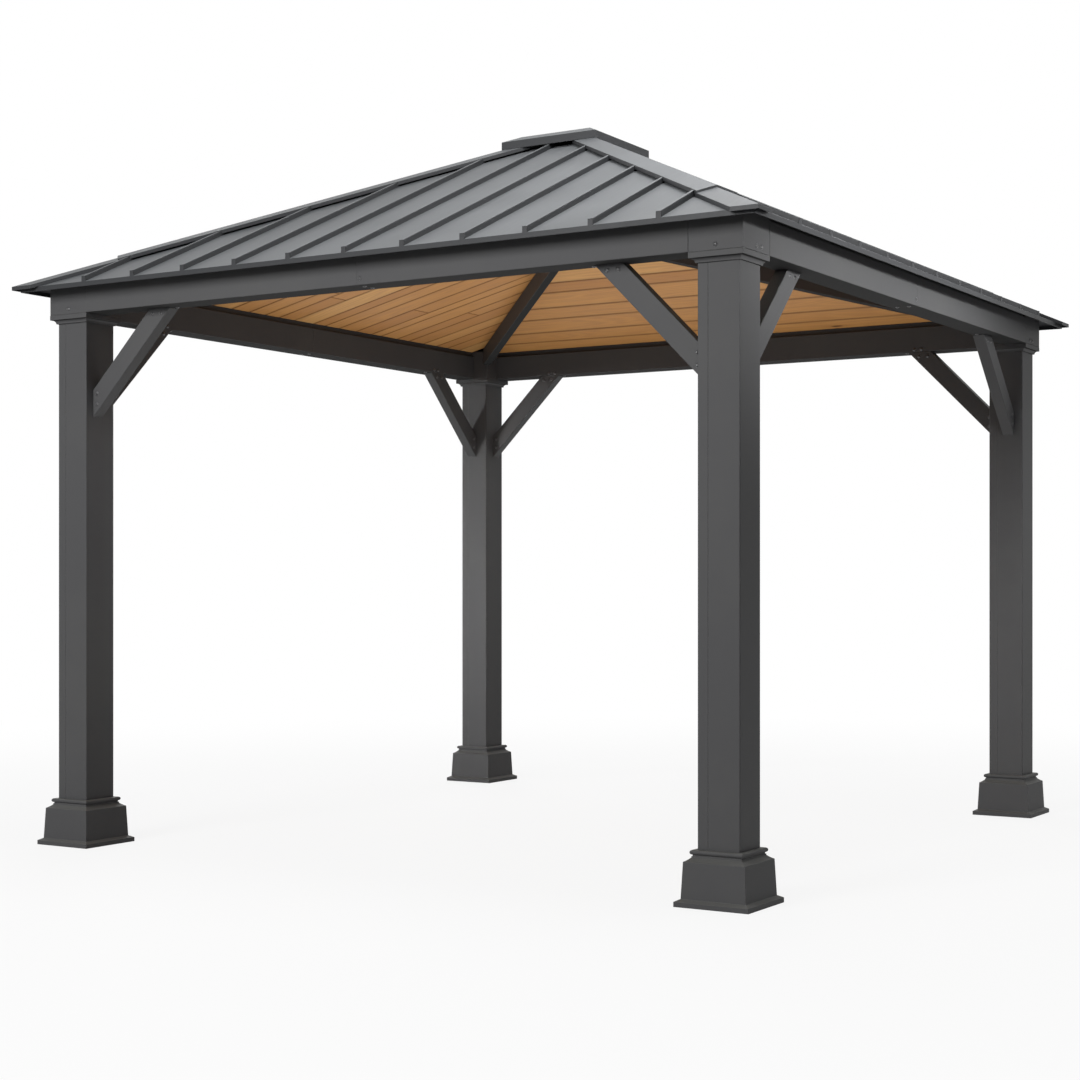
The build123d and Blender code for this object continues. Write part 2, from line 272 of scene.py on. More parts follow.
# A paler colour painted on faces that look up, as painted top light, and in random clouds as dust.
COAT_LIT_TOP_AND_DUSTY = screen(84, 84, 82)
# A darker colour painted on faces that look down, as painted shade.
COAT_PAINTED_SHADE = screen(42, 42, 42)
COAT_ROUGHNESS = 0.55
COAT_CORNER = 2.5 * MM
COAT_PEEL = 0.05 * MM


def powder_coat(name):
    paint = Finish(name, Metallic=0.0, Specular_IOR_Level=0.12)
    place = paint.place()
    up = paint.facing_up()
    cloud = paint.noise(place, scale=2.2, detail=4.0, roughness=0.6)
    speck = paint.noise(place, scale=90.0, detail=3.0, roughness=0.7)
    peel = paint.noise(place, scale=PEEL_SCALE, detail=1.0)
    rounded = paint.soft_edge(COAT_CORNER)
    corner = paint.step(paint.edge(rounded), 0.02, 0.25)
    # Rounded corners are painted paler: a painted highlight along the edges, broken up by specks of
    # wear.
    edge_highlight_and_wear = corner * (0.35 + 0.65 * paint.step(speck, 0.4, 0.65)) * 0.8
    # Faces that look up are painted paler, a painted top light; random clouds add some real dust.
    painted_top_light_and_dust = paint.step(up, 0.3, 0.9) * 0.8 + paint.step(cloud, 0.42, 0.75) * 0.2
    # Faces that look down are painted darker, a painted shade under the beams, and they are also made
    # matt.
    painted_shade_below = paint.step(0.0 - up, 0.75, 0.98)
    colour = paint.blend(painted_shade_below, paint.blend(painted_top_light_and_dust, COAT, COAT_LIT_TOP_AND_DUSTY), COAT_PAINTED_SHADE)
    uneven = 0.10 * (cloud - 0.5) + 0.05 * (speck - 0.5)
    paint.set(
        Base_Color=paint.blend(edge_highlight_and_wear, colour, COAT_EDGE_HIGHLIGHT_AND_WEAR),
        Roughness=COAT_ROUGHNESS + uneven + painted_shade_below * (1.0 - COAT_ROUGHNESS),
        Normal=paint.bump(peel, COAT_PEEL, rounded),
    )
    return paint.material


frame_finish = powder_coat("satin charcoal powder coat")
print(frame_finish.name)

# %% [markdown]
# ## Roof sheet
#
# The pans, ribs and caps are coated sheet, thin and wide, so it is never quite flat: it
# has a slow waviness that bends what it mirrors. It is a shade paler than the frame and
# a little glossier. Faces that stand upright, such as the sides of the ribs and the edges
# of the caps, are painted darker as painted shade, and they draw the lines of the roof.
# Rain leaves faint streaks that run down each slope. The slope faces one of four ways, so
# the streaks follow whichever of X and Y the surface leans towards.

# %% Finish of the roof
SHEET_GREY = screen(70, 72, 74)
SHEET_PALE = screen(88, 90, 92)
# A darker colour painted on upright faces of the sheet, as painted shade.
SHEET_PAINTED_SHADE = screen(42, 43, 45)
SHEET_ROUGHNESS = 0.48
SHEET_CORNER = 2.0 * MM
SHEET_PEEL = 0.03 * MM
SHEET_WAVE = 1.6 * MM


def coated_sheet(name):
    sheet = Finish(name, Metallic=0.0, Specular_IOR_Level=0.2)
    place = sheet.place()
    lean_x, lean_y, up = sheet.split(sheet.node("ShaderNodeNewGeometry", output="Normal"))
    faces_x = sheet.maths("ABSOLUTE", lean_x) > sheet.maths("ABSOLUTE", lean_y)
    x, y, _ = sheet.split(place)
    across = faces_x * y + (1.0 - faces_x) * x
    down = faces_x * x + (1.0 - faces_x) * y
    streaky = sheet.vector(across * 28.0, down * 1.3, 0.0)
    streak = sheet.noise(streaky, scale=1.0, detail=4.0, roughness=0.6)
    cloud = sheet.noise(place, scale=1.6, detail=3.0)
    wavy = sheet.vector(across * 5.0, down * 1.6, 0.0)
    wave = sheet.noise(wavy, scale=1.0, detail=1.0)
    peel = sheet.noise(place, scale=PEEL_SCALE, detail=1.0)
    peeled = sheet.bump(peel, SHEET_PEEL, sheet.soft_edge(SHEET_CORNER))
    pale = 0.6 * sheet.step(cloud, 0.35, 0.7) + 0.4 * sheet.step(streak, 0.45, 0.75)
    # Upright faces (rib sides, fascia, cap edges) get the darker colour as painted shade; faces that
    # lie flat keep the sheet's grey.
    lying_unshaded = sheet.step(up, 0.5, 0.88)
    sheet.set(
        Base_Color=sheet.blend(lying_unshaded, SHEET_PAINTED_SHADE, sheet.blend(pale, SHEET_GREY, SHEET_PALE)),
        Roughness=SHEET_ROUGHNESS + 0.14 * (cloud - 0.5) + 0.12 * (streak - 0.5),
        Normal=sheet.bump(wave, SHEET_WAVE, peeled),
    )
    return sheet.material


roof_finish = coated_sheet("grey coated sheet")
print(roof_finish.name)

# %% [markdown]
# ## Stained cedar
#
# Each board was cut from a different part of a log, so boards differ in tone, and each
# has its own run of grain. The pattern can't come from Object coordinates, because it
# would then run on from one board to the next. The boards are made further down with two
# attributes. "grain" is the place along, across and into the board, shifted at random.
# "board" holds the place across from 0 to 1, a 1 on the face that is seen, which falls
# to 0 over the chamfer, and the board's tone. Contour lines of a noise that is stretched
# along the board give the arches of flat-sawn wood, and a much finer stretch gives the
# pores. Knots are the middles of a few cells of a Voronoi pattern. Stain gathers in the
# grooves and along the edges beside them, so the colour darkens there.

# %% Finish of the ceiling boards
CEDAR_PALE = screen(208, 160, 100)
CEDAR = screen(192, 140, 82)
CEDAR_RED = screen(168, 116, 66)
CEDAR_RING = screen(148, 96, 50)
CEDAR_KNOT = screen(76, 42, 22)
GROOVE_STAIN = screen(74, 46, 26)
TONES = [(0.0, CEDAR_RED), (0.4, CEDAR), (0.65, CEDAR), (1.0, CEDAR_PALE)]
RING_WAVES = 95.0
KNOTTY_CELLS = 0.86
CEDAR_RELIEF = 0.2 * MM


def stained_cedar(name):
    wood = Finish(name, Metallic=0.0, Specular_IOR_Level=0.2)
    grain = wood.node("ShaderNodeAttribute", {"attribute_name": "grain"}, output="Vector")
    board = wood.node("ShaderNodeAttribute", {"attribute_name": "board"}, output="Vector")
    along, across, depth = wood.split(grain)
    side, face, tone = wood.split(board)
    stretched = wood.vector(along * 0.9, across * 9.0, depth * 9.0)
    body = wood.noise(stretched, scale=1.0, detail=2.0, roughness=0.4)
    rings = wood.maths("SINE", body * RING_WAVES) * 0.5 + 0.5
    fine = wood.vector(along * 14.0, across * 420.0, depth * 420.0)
    pores = wood.noise(fine, scale=1.0, detail=3.0, roughness=0.6)

    flat = {"voronoi_dimensions": "2D"}
    cell = {"Vector": wood.vector(along * 1.9, across * 6.5, 0.0), "Scale": 1.0}
    near = wood.node("ShaderNodeTexVoronoi", flat, cell)
    chosen = wood.split(wood.node("ShaderNodeTexVoronoi", flat, cell, "Color"))[0] > KNOTTY_CELLS
    knot = chosen * (1.0 - wood.step(near, 0.03, 0.075))
    halo = chosen * (1.0 - wood.step(near, 0.05, 0.22))

    colour = wood.node("ShaderNodeValToRGB", {"stops": TONES}, {0: tone})
    colour = wood.blend(rings * 0.3 + wood.step(pores, 0.45, 0.8) * 0.2, colour, CEDAR_RING)
    colour = wood.blend(halo * 0.4, colour, CEDAR_RING)
    colour = wood.blend(knot, colour, CEDAR_KNOT)
    from_edge = 1.0 - wood.maths("ABSOLUTE", side * 2.0 - 1.0)
    beside = 0.45 - 0.45 * wood.step(from_edge, 0.03, 0.16)
    groove = 1.0 - wood.step(face, 0.2, 1.0)
    wood.set(
        Base_Color=wood.blend(wood.maths("MAXIMUM", beside, groove), colour, GROOVE_STAIN),
        Roughness=0.6 + 0.12 * (pores - 0.5) - 0.08 * rings,
        Normal=wood.bump(pores * 0.6 + rings * 0.4 - knot, CEDAR_RELIEF),
    )
    return wood.material


board_finish = stained_cedar("stained cedar")
print(board_finish.name)

# %% [markdown]
# ## Bolts
#
# The bolts came from the same coating line as the frame, so they are charcoal too, but
# their domes are smoother and the tool has rubbed them. A glossier coat with a little
# bare metal in it makes each one catch the light.

# %% Finish of the bolts
BOLT_COAT = screen(58, 58, 60)
BOLT_RUBBED = screen(108, 108, 108)
BOLT_SCUFF = 0.05 * MM

bolt_paint = Finish("rubbed bolt coat", Metallic=0.3)
bolt_scuff = bolt_paint.noise(bolt_paint.place(), scale=260.0, detail=3.0, roughness=0.7)
bolt_paint.set(
    Base_Color=bolt_paint.blend(bolt_paint.step(bolt_scuff, 0.4, 0.7), BOLT_COAT, BOLT_RUBBED),
    Roughness=0.24 + 0.25 * bolt_scuff,
    Normal=bolt_paint.bump(bolt_scuff, BOLT_SCUFF),
)
bolt_finish = bolt_paint.material
print(bolt_finish.name)

# %% [markdown]
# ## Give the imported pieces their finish
#
# The model's pieces keep their mesh and only change their material. Roof slopes and caps
# are sheet, and all the rest is frame.

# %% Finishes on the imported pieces
for name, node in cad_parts.items():
    is_roof = name.startswith(("roof_slope", "hip_cap", "top_cap"))
    node.data.materials.clear()
    node.data.materials.append(roof_finish if is_roof else frame_finish)
print(sum(name.startswith("knee_brace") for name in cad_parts), "braces among the frame")

# %% [markdown]
# ## Geometry made by a tree of nodes
#
# Boards and bolts repeat, so a Geometry Nodes tree lays them. A tree is built here with
# named inputs for its sizes, put on an object as a modifier, and worked out once: its
# result becomes a plain mesh, and the modifier goes. Some layouts mirror a piece, which
# turns its faces inside out, so the faces are set to point outwards at the end.

# %% Helpers that build and apply a geometry tree
SOCKET_KINDS = {
    float: "NodeSocketFloat",
    int: "NodeSocketInt",
    bpy.types.Material: "NodeSocketMaterial",
    bpy.types.Object: "NodeSocketObject",
}


class Layout(Bench):
    """A geometry tree whose inputs are named and typed after the values they will get."""

    def __init__(self, name, **values):
        super().__init__(bpy.data.node_groups.new(name, "GeometryNodeTree"))
        self.values = values
        self.identifiers = {}
        self.tree.interface.new_socket("Geometry", in_out="INPUT", socket_type="NodeSocketGeometry")
        for key, value in values.items():
            label = key.replace("_", " ")
            kind = SOCKET_KINDS[type(value)]
            socket = self.tree.interface.new_socket(label, in_out="INPUT", socket_type=kind)
            self.identifiers[key] = socket.identifier
        self.tree.interface.new_socket("Geometry", in_out="OUTPUT", socket_type="NodeSocketGeometry")
        source = self.tree.nodes.new("NodeGroupInput")
        self.geometry = Wire(self, source.outputs[0])
        for index, key in enumerate(values):
            setattr(self, key, Wire(self, source.outputs[index + 1]))

    def attribute(self, name, kind="FLOAT"):
        return self.node("GeometryNodeInputNamedAttribute", {"data_type": kind}, {"Name": name})

    def store(self, geometry, name, value, kind="FLOAT"):
        settings = {"data_type": kind, "domain": "POINT"}
        inputs = {"Geometry": geometry, "Name": name, "Value": value}
        return self.node("GeometryNodeStoreNamedAttribute", settings, inputs)

    def forget(self, geometry, name):
        return self.node("GeometryNodeRemoveAttribute", None, {"Geometry": geometry, "Name": name})

    def random(self, number, seed):
        """A number from 0 to 1 that belongs to this number and seed."""
        inputs = {2: 0.0, 3: 1.0, "ID": number, "Seed": seed}
        return self.node("FunctionNodeRandomValue", {"data_type": "FLOAT"}, inputs, 1)

    def finish(self, geometry):
        """Turn copies into real geometry, give them the material and end the tree."""
        realized = self.node("GeometryNodeRealizeInstances", None, {0: geometry})
        inputs = {"Geometry": realized, "Material": self.Material}
        painted = self.node("GeometryNodeSetMaterial", None, inputs)
        sink = self.tree.nodes.new("NodeGroupOutput")
        self.feed(sink.inputs[0], painted)

    def lay(self, name, mesh, **changes):
        """An object made of this mesh by the tree, with some inputs changed."""
        piece = put(name, mesh)
        modifier = piece.modifiers.new(self.tree.name, "NODES")
        modifier.node_group = self.tree
        for key, value in {**self.values, **changes}.items():
            modifier[self.identifiers[key]] = value
        graph = bpy.context.evaluated_depsgraph_get()
        result = bpy.data.meshes.new_from_object(
            piece.evaluated_get(graph), preserve_all_data_layers=True, depsgraph=graph
        )
        piece.modifiers.clear()
        piece.data = result
        face_outwards(result)
        result.name = name
        return piece


def face_outwards(mesh):
    shell = bmesh.new()
    shell.from_mesh(mesh)
    bmesh.ops.recalc_face_normals(shell, faces=shell.faces)
    shell.to_mesh(mesh)
    shell.free()


print("layouts ready")

# %% [markdown]
# ## The ceiling boards
#
# Seen from below, the front and back slopes have boards that lie along the eave, and the
# left and right slopes have boards that run up to the hips, in shorter lengths with
# staggered ends. The boards differ a little in width, because each joint wanders off its
# even place. Every board has a small chamfer round its face, so two boards meet in a
# V groove, and the ends at a hip are mitred.
#
# One board is enough to start from: a slab with length and width of 1, whose lower face
# is drawn in by the chamfer. The tree makes a copy for each board and then works out
# where each corner goes: so far along, so far across, but no further than the hip line
# at that place. Pushing corners back to the line is what cuts the mitres.

# %% Sizes of the ceiling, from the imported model
GROOVE = 4.5 * MM
JOINT = 0.3 * MM
MITRE_GAP = 0.7 * MM
EAVE_BOARDS = 9
HIP_BOARDS = 12
JOINT_WANDER = 0.3
SHORTEST_BOARD = 0.22
STAGGERED_LENGTH = 1.15
GRAIN_SHIFT = (37.0, 11.0, 5.0)


def heights_at(node, y):
    """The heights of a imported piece's corners that lie at this y."""
    corners = [vertex.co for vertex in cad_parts[node].data.vertices]
    return sorted({round(corner.z, 5) for corner in corners if abs(corner.y - y) < MM})


ceiling_low, ceiling_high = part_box("ceiling_front")
ceiling_outer = -ceiling_low.y
edge_heights = heights_at("ceiling_front", ceiling_low.y)
middle_heights = heights_at("ceiling_front", ceiling_high.y)
board_rise = edge_heights[-1] - edge_heights[0]
ceiling_slope = (middle_heights[0] - edge_heights[0]) / (ceiling_outer + ceiling_high.y)
box_inside = -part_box("corner_box_front_right")[1].y - JOINT
ceiling_degrees = math.degrees(math.atan(ceiling_slope))
print("slope", round(ceiling_degrees, 2), "degrees; boards end at", round(box_inside, 4))

# %% One board to copy
def unit_board():
    """A slab 1 long and 1 wide; the corners of its lower face carry chamfer = 1."""
    shell = bmesh.new()
    chamfer = shell.verts.layers.float.new("chamfer")
    levels = ((0.0, 1.0), (GROOVE, 0.0), (board_rise, 0.0))
    rings = []
    for height, inset in levels:
        ring = [shell.verts.new((x, y, height)) for x, y in ((0, 0), (1, 0), (1, 1), (0, 1))]
        for corner in ring:
            corner[chamfer] = inset
        rings.append(ring)
    shell.faces.new(reversed(rings[0]))
    shell.faces.new(rings[-1])
    for lower, upper in zip(rings, rings[1:]):
        for side in range(4):
            after = (side + 1) % 4
            shell.faces.new((lower[side], lower[after], upper[after], upper[side]))
    mesh = bpy.data.meshes.new("unit board")
    shell.to_mesh(mesh)
    shell.free()
    return mesh


board_mesh = unit_board()
print(len(board_mesh.polygons), "faces in a board")

# %% The tree that lays a slope of boards
def board_layout(name, up_the_slope, **values):
    """Boards on the front slope, along the eave or up the slope, turned to their own side."""
    tree = Layout(
        name, **values, Wander=JOINT_WANDER, Outer=ceiling_outer, Corner=box_inside,
        Slope=ceiling_slope, Edge_height=edge_heights[0], Mitre_gap=MITRE_GAP, Chamfer=GROOVE,
        Joint=JOINT, Shortest=SHORTEST_BOARD, Turn=0.0, Seed=1, Material=board_finish,
    )

    def joint(run):
        """Place of the joint before this run, a little off even, and within the slope."""
        off_even = (tree.random(run, tree.Seed + 3) - 0.5) * tree.Wander
        even = tree.First_edge + (run + off_even) * tree.Board_width
        if up_the_slope:
            lowest, highest = 0.0 - tree.Corner, tree.Corner
        else:
            lowest, highest = 0.0, tree.Outer
        return tree.maths("MAXIMUM", tree.maths("MINIMUM", even, highest), lowest)

    number = tree.node("GeometryNodeInputIndex")
    run = tree.maths("FLOOR", (number + 0.5) / tree.Pieces)
    near_joint = joint(run)
    far_joint = joint(run + 1.0)
    points = tree.node("GeometryNodePoints", None, {"Count": tree.Runs * tree.Pieces})
    points = tree.store(points, "tone", tree.random(number, tree.Seed))
    points = tree.store(points, "shift", tree.random(number, tree.Seed + 1))
    points = tree.store(points, "near", near_joint)
    points = tree.store(points, "width", far_joint - near_joint)
    if up_the_slope:
        # A board that would be too short at the hip or the eave is spare, and its
        # neighbour runs on in its place.
        piece = number - run * tree.Pieces
        start = (piece - tree.random(run, tree.Seed + 2)) * tree.Length
        end = start + tree.Length
        hip = [tree.maths("ABSOLUTE", joint_at) for joint_at in (near_joint, far_joint)]
        near_hip = tree.maths("MAXIMUM", *hip) + tree.Shortest
        near_eave = tree.Outer - tree.Shortest
        spare = 1.0 - (start < near_eave) * (end > tree.maths("MINIMUM", near_hip, near_eave))
        points = tree.store(points, "start", start * (start > near_hip))
        points = tree.store(points, "end", end + (end > near_eave) * tree.Outer)
        points = tree.node("GeometryNodeDeleteGeometry", {"domain": "POINT"}, {0: points, 1: spare})
    else:
        points = tree.store(points, "start", 0.0 - tree.Outer)
        points = tree.store(points, "end", tree.Outer)
    inputs = {"Points": points, "Instance": tree.geometry}
    copies = tree.node("GeometryNodeInstanceOnPoints", None, inputs)
    corners = tree.node("GeometryNodeRealizeInstances", None, {0: copies})

    x, y, depth = tree.split(tree.node("GeometryNodeInputPosition"))
    face = tree.attribute("chamfer")
    inset = face * tree.Chamfer + tree.Joint * 0.5
    width = tree.attribute("width")
    across = tree.attribute("near") + y * width + (1.0 - 2.0 * y) * inset
    if up_the_slope:
        low = tree.maths("ABSOLUTE", across) + tree.Mitre_gap
        high = tree.Outer
    else:
        high = tree.maths("MINIMUM", across - tree.Mitre_gap, tree.Corner)
        low = 0.0 - high
    start = tree.attribute("start")
    along = start + x * (tree.attribute("end") - start)
    along = tree.maths("MAXIMUM", tree.maths("MINIMUM", along, high), low) + (1.0 - 2.0 * x) * inset
    lengthways, crossways, inwards = [tree.attribute("shift") * far for far in GRAIN_SHIFT]
    grain = tree.vector(along + lengthways, y * width + crossways, depth + inwards)
    board = tree.vector(y, face, tree.attribute("tone"))
    outwards = along if up_the_slope else across
    sideways = across if up_the_slope else along
    height = tree.Edge_height + (tree.Outer - outwards) * tree.Slope + depth
    place = tree.vector(sideways, 0.0 - outwards, height)
    corners = tree.store(corners, "grain", grain, "FLOAT_VECTOR")
    corners = tree.store(corners, "board", board, "FLOAT_VECTOR")
    corners = tree.node("GeometryNodeSetPosition", None, {"Geometry": corners, "Position": place})
    for helper in ("start", "end", "near", "width", "shift", "tone", "chamfer"):
        corners = tree.forget(corners, helper)
    turn = tree.vector(0.0, 0.0, tree.Turn)
    tree.finish(tree.node("GeometryNodeTransform", None, {"Geometry": corners, "Rotation": turn}))
    return tree


along_the_eave = board_layout(
    "boards along the eave", False, Runs=EAVE_BOARDS + 1, Pieces=1, First_edge=0.0,
    Board_width=box_inside / EAVE_BOARDS, Length=ceiling_outer,
)
up_to_the_hips = board_layout(
    "boards up to the hips", True, Runs=2 * HIP_BOARDS,
    Pieces=math.ceil(ceiling_outer / STAGGERED_LENGTH) + 1, First_edge=-box_inside,
    Board_width=box_inside / HIP_BOARDS, Length=STAGGERED_LENGTH,
)
print(len(along_the_eave.tree.nodes), "and", len(up_to_the_hips.tree.nodes), "nodes")

# %% Boards on the four slopes
for turn, side in enumerate(SIDES):
    layout = along_the_eave if side in ("front", "back") else up_to_the_hips
    boards = layout.lay(f"boards_{side}", board_mesh, Turn=math.radians(90 * turn), Seed=10 * turn + 3)
    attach(boards, "root")
    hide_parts(f"ceiling_{side}")
    print(boards.name, len(boards.data.polygons), "faces")

# %% [markdown]
# ## One bolt
#
# The bolts have a low round head with a hexagon socket, on a flat washer. A head is
# turned from a profile, as on a lathe. The rings inside the socket follow a hexagon
# instead of a circle: its radius at any angle is its half width divided by the cosine of
# the angle from the middle of the nearest side, and six sides are 60 degrees each.

# %% Profile and mesh of a bolt
BOLT_SEGMENTS = 24
WASHER_RADIUS = 8.0 * MM
WASHER_THICKNESS = 1.4 * MM
HEAD_RADIUS = 6.2 * MM
HEAD_RISE = 3.8 * MM
SOCKET_HALF_WIDTH = 2.5 * MM
SOCKET_DEPTH = 2.4 * MM
BOLT_EDGE = 0.4 * MM
DOME_ANGLES = (15, 30, 45, 60)


def bolt_profile():
    """(radius, height, follows the hexagon) from the washer's foot in to the socket."""
    top = WASHER_THICKNESS + HEAD_RISE
    rim = [(WASHER_RADIUS, 0.0), (WASHER_RADIUS, WASHER_THICKNESS - BOLT_EDGE),
           (WASHER_RADIUS - BOLT_EDGE, WASHER_THICKNESS), (HEAD_RADIUS, WASHER_THICKNESS)]
    dome = [(HEAD_RADIUS * math.cos(angle), WASHER_THICKNESS + HEAD_RISE * math.sin(angle))
            for angle in map(math.radians, DOME_ANGLES)]
    lip = [(SOCKET_HALF_WIDTH + BOLT_EDGE, top - BOLT_EDGE / 2)]
    socket = [(SOCKET_HALF_WIDTH, top - depth) for depth in (BOLT_EDGE, SOCKET_DEPTH)]
    return [(*ring, False) for ring in rim + dome + lip] + [(*ring, True) for ring in socket]


def turned_bolt():
    shell = bmesh.new()
    rings = []
    for radius, height, hexagonal in bolt_profile():
        ring = []
        for segment in range(BOLT_SEGMENTS):
            angle = math.tau * segment / BOLT_SEGMENTS
            off_side = (angle + math.radians(30)) % math.radians(60) - math.radians(30)
            reach = radius / math.cos(off_side) if hexagonal else radius
            place = (reach * math.cos(angle), reach * math.sin(angle), height)
            ring.append(shell.verts.new(place))
        rings.append(ring)
    for outer, inner in zip(rings, rings[1:]):
        for segment in range(BOLT_SEGMENTS):
            after = (segment + 1) % BOLT_SEGMENTS
            corners = (outer[segment], outer[after], inner[after], inner[segment])
            shell.faces.new(corners).smooth = True
    shell.faces.new(rings[-1])
    shell.faces.new(reversed(rings[0]))
    mesh = bpy.data.meshes.new("turned bolt")
    shell.to_mesh(mesh)
    shell.free()
    return mesh


bolt_mesh = turned_bolt()
print(len(bolt_mesh.polygons), "faces in a bolt")

# %% [markdown]
# ## Where the bolts go
#
# Each brace has two bolts through each end, on both sides. A pair shows on the beam above
# it, and one goes up into the beam just past its tip. Every corner box and beam joint has
# its own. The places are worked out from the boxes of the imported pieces, so a bolt always
# sits on its face: a list of places, each with the way that the face looks.

# %% Places of the bolts
BRACE_BOLT_IN = 22 * MM
BRACE_BOLTS_FROM_TIP = (52 * MM, 96 * MM)
BEAM_BOLTS_FROM_TIP = (28 * MM, 64 * MM)
BEAM_BOLT_UP = 13 * MM
UNDER_BOLT_PAST_TIP = 16 * MM
BOX_BOLT_UP = 19 * MM
BOX_BOLT_ASIDE = 38 * MM
BOX_INNER_BOLTS_UP = (34 * MM, 88 * MM)
JOINT_BOLT_ASIDE = 13 * MM
JOINT_BOLT_UP = 25 * MM
JOINT_UNDER_BOLTS_IN = (31 * MM, 80 * MM)

DOWN = (0.0, 0.0, -1.0)
beam_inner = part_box("beam_right")[0].x
bolt_places = []


def sign(number):
    return 1.0 if number > 0 else -1.0


def long_axis(low, high):
    """0 for a piece that runs along X, 1 for one that runs along Y."""
    return 0 if high.x - low.x > high.y - low.y else 1


def bolt_at(axis, level, other, height, facing):
    """A bolt on an upright face square to an axis; facing is 1 or -1 along that axis."""
    place = [0.0, 0.0, height]
    place[axis] = level
    place[1 - axis] = other
    look = [0.0, 0.0, 0.0]
    look[axis] = facing
    bolt_places.append((place, look))


def bolt_under(axis, along, across, height):
    """A bolt on a face that looks down, on a piece that runs along this axis."""
    place = [0.0, 0.0, height]
    place[axis] = along
    place[1 - axis] = across
    bolt_places.append((place, DOWN))


def brace_bolts(node):
    """Bolts of one brace and of the beam over it."""
    low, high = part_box(node)
    runs = long_axis(low, high)
    across = 1 - runs
    away = -sign(low[runs])
    post_face = low[runs] if away > 0 else high[runs]
    leg = high[runs] - low[runs]
    for from_tip in BRACE_BOLTS_FROM_TIP:
        for level, facing in ((low[across], -1.0), (high[across], 1.0)):
            upper = post_face + away * (leg - from_tip)
            lower = post_face + away * BRACE_BOLT_IN
            bolt_at(across, level, upper, high.z - BRACE_BOLT_IN, facing)
            bolt_at(across, level, lower, high.z - leg + from_tip, facing)
    side = sign(low[across])
    inner_face = low[across] if side > 0 else high[across]
    for from_tip in BEAM_BOLTS_FROM_TIP:
        along = post_face + away * (leg - from_tip)
        bolt_at(across, inner_face, along, high.z + BEAM_BOLT_UP, -side)
    past_tip = post_face + away * (leg + UNDER_BOLT_PAST_TIP)
    bolt_under(runs, past_tip, (low[across] + high[across]) / 2, high.z)


def box_bolts(node):
    """Bolts on the outer and inner faces of a corner box."""
    low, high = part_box(node)
    middle = (low + high) / 2
    for axis in (0, 1):
        outwards = sign(middle[axis])
        inwards = -sign(middle[1 - axis])
        outer_face, inner_face = (high, low) if outwards > 0 else (low, high)
        height = low.z + BOX_BOLT_UP
        bolt_at(axis, outer_face[axis], middle[1 - axis], height, outwards)
        if axis == 0:
            beside = middle.y + inwards * BOX_BOLT_ASIDE
            bolt_at(axis, outer_face[axis], beside, height, outwards)
        bared = (abs(inner_face[1 - axis]) + beam_inner) / 2
        for up in BOX_INNER_BOLTS_UP:
            bolt_at(axis, inner_face[axis], -inwards * bared, low.z + up, -outwards)


def beam_joint_bolts(node):
    """Bolts beside the joint in the middle of a beam."""
    low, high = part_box(node)
    runs = long_axis(low, high)
    across = 1 - runs
    side = sign(low[across] + high[across])
    outer_face = high[across] if side > 0 else low[across]
    bolt_at(across, outer_face, -side * JOINT_BOLT_ASIDE, low.z + JOINT_BOLT_UP, side)
    for inwards in JOINT_UNDER_BOLTS_IN:
        bolt_under(runs, -side * JOINT_BOLT_ASIDE, outer_face - side * inwards, low.z)


for name in sorted(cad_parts):
    if name.startswith("knee_brace"):
        brace_bolts(name)
    elif name.startswith("corner_box"):
        box_bolts(name)
    elif name.startswith("beam"):
        beam_joint_bolts(name)
print(len(bolt_places), "bolts")

# %% The tree that sets a bolt on each place
BOLT_SUNK = 0.1 * MM

pattern = bpy.data.objects.new("bolt pattern", bolt_mesh)
bolt_layout = Layout(
    "bolts on their faces", Bolt=pattern, Sunk=BOLT_SUNK, Seed=5, Material=bolt_finish
)
facing = bolt_layout.attribute("facing", "FLOAT_VECTOR")
upright = bolt_layout.node("FunctionNodeAlignRotationToVector", {"axis": "Z"}, {"Vector": facing})
which = bolt_layout.node("GeometryNodeInputIndex")
quarter = bolt_layout.vector(0.0, 0.0, bolt_layout.random(which, bolt_layout.Seed) * math.tau)
settings = {"rotation_space": "LOCAL"}
inputs = {"Rotation": upright, "Rotate By": quarter}
turned = bolt_layout.node("FunctionNodeRotateRotation", settings, inputs)
copied = bolt_layout.node("GeometryNodeObjectInfo", None, {"Object": bolt_layout.Bolt}, "Geometry")
inputs = {"Points": bolt_layout.geometry, "Instance": copied, "Rotation": turned}
set_bolts = bolt_layout.node("GeometryNodeInstanceOnPoints", None, inputs)
sinking = bolt_layout.vector(0.0, 0.0, 0.0 - bolt_layout.Sunk)
inputs = {"Instances": set_bolts, "Translation": sinking}
bolt_layout.finish(bolt_layout.node("GeometryNodeTranslateInstances", None, inputs))

places = bpy.data.meshes.new("bolt places")
places.from_pydata([place for place, _ in bolt_places], [], [])
looks = places.attributes.new("facing", "FLOAT_VECTOR", "POINT")
looks.data.foreach_set("vector", [part for _, look in bolt_places for part in look])
bolts = bolt_layout.lay("bolts", places)
bpy.data.objects.remove(pattern)
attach(bolts, "root")
print(bolts.name, len(bolts.data.polygons), "faces")

# %% [markdown]
# ## Sleeves in the beam joints
#
# The two halves of a beam meet with a hair's gap, and a folded sleeve inside the tube
# joins them. No more than a dark line of it shows, but without it daylight would show
# through the beam when it is looked at square on.

# %% A sleeve inside each beam
SLEEVE_LENGTH = 200 * MM
SLEEVE_HEIGHT = 112 * MM
SLEEVE_IN = 4 * MM

